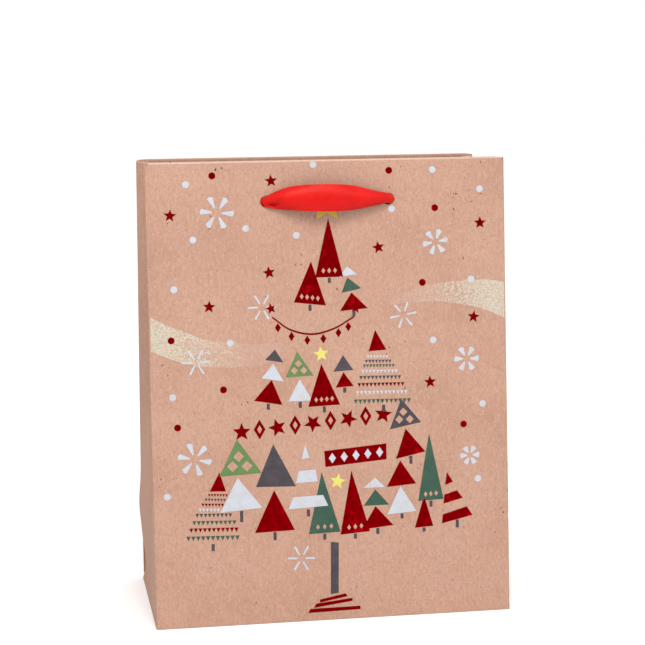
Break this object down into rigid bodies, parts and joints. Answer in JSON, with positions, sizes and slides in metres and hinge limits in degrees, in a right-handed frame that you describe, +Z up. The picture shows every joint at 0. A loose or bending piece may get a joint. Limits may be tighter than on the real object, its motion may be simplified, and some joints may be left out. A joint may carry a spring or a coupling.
{
  "type": "paper gift bag",
  "caption": "Medium portrait paper gift bag with pleated gussets, a turned-in hem, a loose base board and ribbon handles drawn through punched holes.",
  "frame": {"origin": "middle of the base, on the surface that the bag stands on", "axes": "+X across the front, towards the right as seen from the front; -Y out of the printed front; +Z up"},
  "size_m": [0.18, 0.1, 0.2297],
  "materials": {
    "printed_kraft": "matte kraft paper printed in foil and flat colours",
    "kraft_paper": "matte kraft paper",
    "kraft_inside": "matte, uncoated",
    "stiffening_card": "grey board",
    "base_board": "grey board",
    "ribbon": "red satin"
  },
  "bodies": {
    "bag": {"front_panel": "printed_kraft", "front_hem": "kraft_inside", "front_card": "stiffening_card", "back_panel_lower": "kraft_paper", "left_gusset_front": "kraft_paper", "left_gusset_back": "kraft_paper", "left_gusset_foot": "kraft_paper", "right_gusset_front": "kraft_paper", "right_gusset_back": "kraft_paper", "right_gusset_foot": "kraft_paper", "left_gusset_hem_front": "kraft_inside", "left_gusset_hem_back": "kraft_inside", "right_gusset_hem_front": "kraft_inside", "right_gusset_hem_back": "kraft_inside", "seam_lap_lower": "kraft_inside", "base_flap_front": "kraft_inside", "base_flap_back": "kraft_inside", "base_flap_left": "kraft_inside", "base_flap_right": "kraft_inside", "front_ribbon_in_holes": "ribbon"},
    "back_wall": {"back_panel_upper": "kraft_paper", "back_hem": "kraft_inside", "back_card": "stiffening_card", "seam_lap_upper": "kraft_inside", "back_ribbon_in_holes": "ribbon"},
    "base_board": {"base_board": "base_board"},
    "front_strap": {"front_strap": "ribbon"},
    "front_tails": {"front_tail_left": "ribbon", "front_tail_right": "ribbon", "front_knot_left": "ribbon", "front_knot_right": "ribbon"},
    "back_strap": {"back_strap": "ribbon"},
    "back_tails": {"back_tail_left": "ribbon", "back_tail_right": "ribbon", "back_knot_left": "ribbon", "back_knot_right": "ribbon"}
  },
  "joints": [
    {"name": "mouth_fold", "type": "hinge", "parent": "bag", "child": "back_wall", "pos_m": [0, 0.05, 0.05], "axis": [1, 0, 0], "range_deg": [-7.5, 8], "deforming": ["left_gusset_front", "left_gusset_back", "right_gusset_front", "right_gusset_back", "left_gusset_hem_front", "left_gusset_hem_back", "right_gusset_hem_front", "right_gusset_hem_back"]},
    {"name": "base_board_lift", "type": "hinge", "parent": "bag", "child": "base_board", "pos_m": [0, -0.0475, 0.00135], "axis": [1, 0, 0], "range_deg": [0, 35]},
    {"name": "front_handle_pull", "type": "slide", "parent": "bag", "child": "front_strap", "axis": [0, 0.0522, 0.9986], "range_m": [0, 0.1]},
    {"name": "front_tails_draw", "type": "slide", "parent": "bag", "child": "front_tails", "axis": [0, 0, 1], "range_m": [0, 0.1], "deforming": ["front_tail_left", "front_tail_right"]},
    {"name": "back_handle_pull", "type": "slide", "parent": "back_wall", "child": "back_strap", "axis": [0, -0.1333, 0.9911], "range_m": [0, 0.1]},
    {"name": "back_tails_draw", "type": "slide", "parent": "back_wall", "child": "back_tails", "axis": [0, 0, 1], "range_m": [0, 0.1], "deforming": ["back_tail_left", "back_tail_right"]}
  ],
  "couplings": [
    {"joint": "front_tails_draw", "follows": "front_handle_pull", "ratio": 1},
    {"joint": "back_tails_draw", "follows": "back_handle_pull", "ratio": 1}
  ]
}
